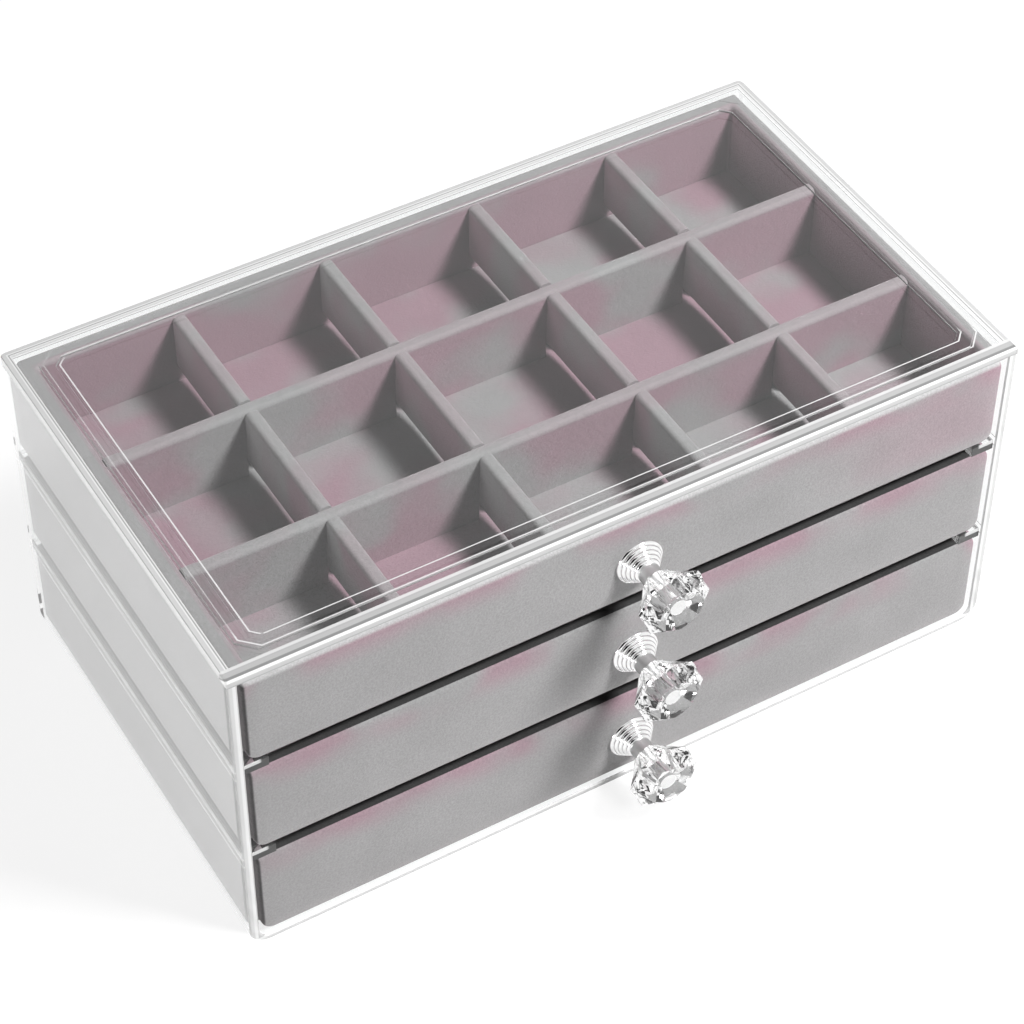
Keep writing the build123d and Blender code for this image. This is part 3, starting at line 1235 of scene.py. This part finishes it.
class CASE_OT_floor_pads(bpy.types.Operator):
    """Make the soft floor pads, which rise a little between the long dividers"""

    bl_idname = "case.floor_pads"
    bl_label = "Floor pads"

    def execute(self, context):
        padding = context.scene.case_padding
        look = context.scene.case_velvet
        velvet = velvet_finish(look, "velvet on the floor pads", calm_floor, bloom_share=0.12)
        for level in DRAWERS:
            low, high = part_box(f"{level}_floor_pad")
            shape = block(low, high)
            round_edges(shape, edges_along(shape, 2), PAD_CORNER, segments=3)
            for axis, strips in enumerate(PAD_STRIPS):
                slice_evenly(shape, axis, low[axis], high[axis], strips)
            held = [low.y, high.y]
            for divider in ("front_divider", "back_divider"):
                near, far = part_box(f"{level}_{divider}")
                held.extend((near.y, far.y))
            held.sort()
            for vertex in shape.verts:
                if vertex.co.z > high.z - TINY:
                    vertex.co.z += self.rise(vertex.co, held, low.x, high.x, padding)
            name, body = f"{level}_velvet_floor", f"{level}_drawer"
            pad = finished_piece(shape, name, body, velvet)
            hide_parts(f"{level}_floor_pad")
        return {"FINISHED"}

    def rise(self, place, held, left, right, padding):
        """How far the pad's top stands up at a place: nothing where a wall or long divider holds it."""
        rows = zip(held[0::2], held[1::2])
        inside = [(near, far) for near, far in rows if near <= place.y <= far]
        if not inside:
            return 0.0
        near, far = inside[0]
        room = min(place.y - near, far - place.y, place.x - left, right - place.x)
        fullness = 1.0 - math.exp(-room / PAD_FALL_OFF)
        wave = noise.noise(place * PAD_WAVES)
        return fullness * (padding.floor_crown + padding.floor_waves * wave)


class CASE_OT_fronts(bpy.types.Operator):
    """Make the velvet-wrapped drawer fronts with their slightly crowned faces"""

    bl_idname = "case.fronts"
    bl_label = "Drawer fronts"

    def execute(self, context):
        padding = context.scene.case_padding
        look = context.scene.case_velvet
        velvet = velvet_finish(
            look,
            "velvet on the drawer fronts",
            calm_front,
            bloom_share=0.1,
            edges=front_painted_light,
        )
        for level in DRAWERS:
            low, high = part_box(f"{level}_front")
            low.x += padding.front_shift + padding.side_gap
            high.x += padding.front_shift - padding.side_gap
            high.z += padding.top_rise if level == "top" else padding.lower_rise
            shape = block(low + Vector((0.0, padding.front_crown, 0.0)), high)
            round_edges(shape, edges_along(shape, 1), padding.front_corner, segments=6)
            straight = set(edges_along(shape, 1))
            rim = [edge for edge in shape.edges if edge not in straight]
            round_edges(shape, rim, padding.front_edge, segments=4)
            for axis, strips in zip((0, 2), FRONT_STRIPS):
                slice_evenly(shape, axis, low[axis], high[axis], strips)
            for vertex in shape.verts:
                if vertex.co.y < low.y + padding.front_crown + TINY:
                    place = vertex.co
                    room = min(place.x - low.x, high.x - place.x, place.z - low.z, high.z - place.z)
                    place.y -= padding.front_crown * (1.0 - math.exp(-room / FRONT_FALL_OFF))
            name, body = f"{level}_velvet_front", f"{level}_drawer"
            front = finished_piece(shape, name, body, velvet)
            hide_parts(f"{level}_front")
        return {"FINISHED"}


class CASE_OT_knobs(bpy.types.Operator):
    """Finish the knobs: plated rosettes, satin spindles, steel screws and cut crystals"""

    bl_idname = "case.knobs"
    bl_label = "Knobs"

    def execute(self, context):
        look = context.scene.case_knobs
        chrome = metal_finish(look, "plated rosette", look.chrome_colour, polish=0.05, turning=0.1)
        satin = metal_finish(
            look,
            "satin spindle",
            look.satin_colour,
            polish=0.3,
            turning=0.3,
            highlight_end=STEM_END + PIN_HIGHLIGHT_DEPTH,
        )
        steel = metal_finish(look, "screw steel", look.steel_colour, polish=0.22, turning=0.2)
        crystal = crystal_finish(look)
        for level in DRAWERS:
            low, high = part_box(f"{level}_knob_rosette")
            shape = self.beaded_rings(look, Vector((0.0, high.y, (low.z + high.z) / 2)))
            name, body = f"{level}_knob_rings", f"{level}_drawer"
            rings = finished_piece(shape, name, body, chrome)
            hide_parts(f"{level}_knob_rosette")
            paint(f"{level}_knob_stem", satin)
            paint(f"{level}_knob_screw", steel)
            paint(f"{level}_knob_crystal", crystal)
        return {"FINISHED"}

    def beaded_rings(self, look, seat):
        """A rosette of rounded rings turned about the knob's centre line."""
        outline = [(look.rosette_bore, 0.0)]
        for ring in range(look.rosette_rings):
            reach = look.rosette_radius - ring * look.ring_step
            for step in range(BEAD_STEPS + 1):
                angle = math.radians(90.0 * step / BEAD_STEPS)
                across = reach - look.ring_round * (1.0 - math.cos(angle))
                outline.append((across, (ring + math.sin(angle)) * look.ring_height))
        outline.append((look.rosette_bore, look.rosette_rings * look.ring_height))
        shape = bmesh.new()
        corners = [shape.verts.new(seat + Vector((across, -out, 0.0))) for across, out in outline]
        edges = [shape.edges.new(ends) for ends in zip(corners, corners[1:] + corners[:1])]
        bmesh.ops.spin(
            shape,
            geom=corners + edges,
            cent=seat,
            axis=(0.0, -1.0, 0.0),
            angle=2.0 * math.pi,
            steps=TURN_STEPS,
            use_merge=True,
        )
        return shape


class CASE_PT_sidebar(bpy.types.Panel):
    """Lists the settings and the steps in the order they run"""

    bl_idname = "CASE_PT_sidebar"
    bl_label = "Jewellery Case"
    bl_space_type = "VIEW_3D"
    bl_region_type = "UI"
    bl_category = "Jewellery Case"

    def draw(self, context):
        for group, _, operators in STEPS:
            box = self.layout.box()
            settings = getattr(context.scene, group)
            for name in settings.bl_rna.properties.keys():
                if name not in ("rna_type", "name"):
                    box.prop(settings, name)
            for operator in operators:
                box.operator(operator.bl_idname)


# Each group of settings with its class and the operators that use it, in the order they run
STEPS = (
    ("case_studio", StudioSetup, (CASE_OT_stage,)),
    ("case_acrylic", AcrylicLook, (CASE_OT_clear_case,)),
    ("case_velvet", VelvetLook, (CASE_OT_trays,)),
    ("case_padding", PaddingShape, (CASE_OT_floor_pads, CASE_OT_fronts)),
    ("case_knobs", KnobLook, (CASE_OT_knobs,)),
)
CLASSES = (
    *(group for _, group, _ in STEPS),
    *(operator for _, _, operators in STEPS for operator in operators),
    CASE_PT_sidebar,
)


def register():
    for made in CLASSES:
        bpy.utils.register_class(made)
    for name, group, _ in STEPS:
        setattr(bpy.types.Scene, name, bpy.props.PointerProperty(type=group))


def unregister():
    for name, _, _ in STEPS:
        delattr(bpy.types.Scene, name)
    for made in reversed(CLASSES):
        bpy.utils.unregister_class(made)


def main():
    """Register the add-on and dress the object."""
    register()
    bpy.ops.case.stage()
    bpy.ops.case.clear_case()
    bpy.ops.case.trays()
    bpy.ops.case.floor_pads()
    bpy.ops.case.fronts()
    bpy.ops.case.knobs()


if __name__ == "__main__":
    main()
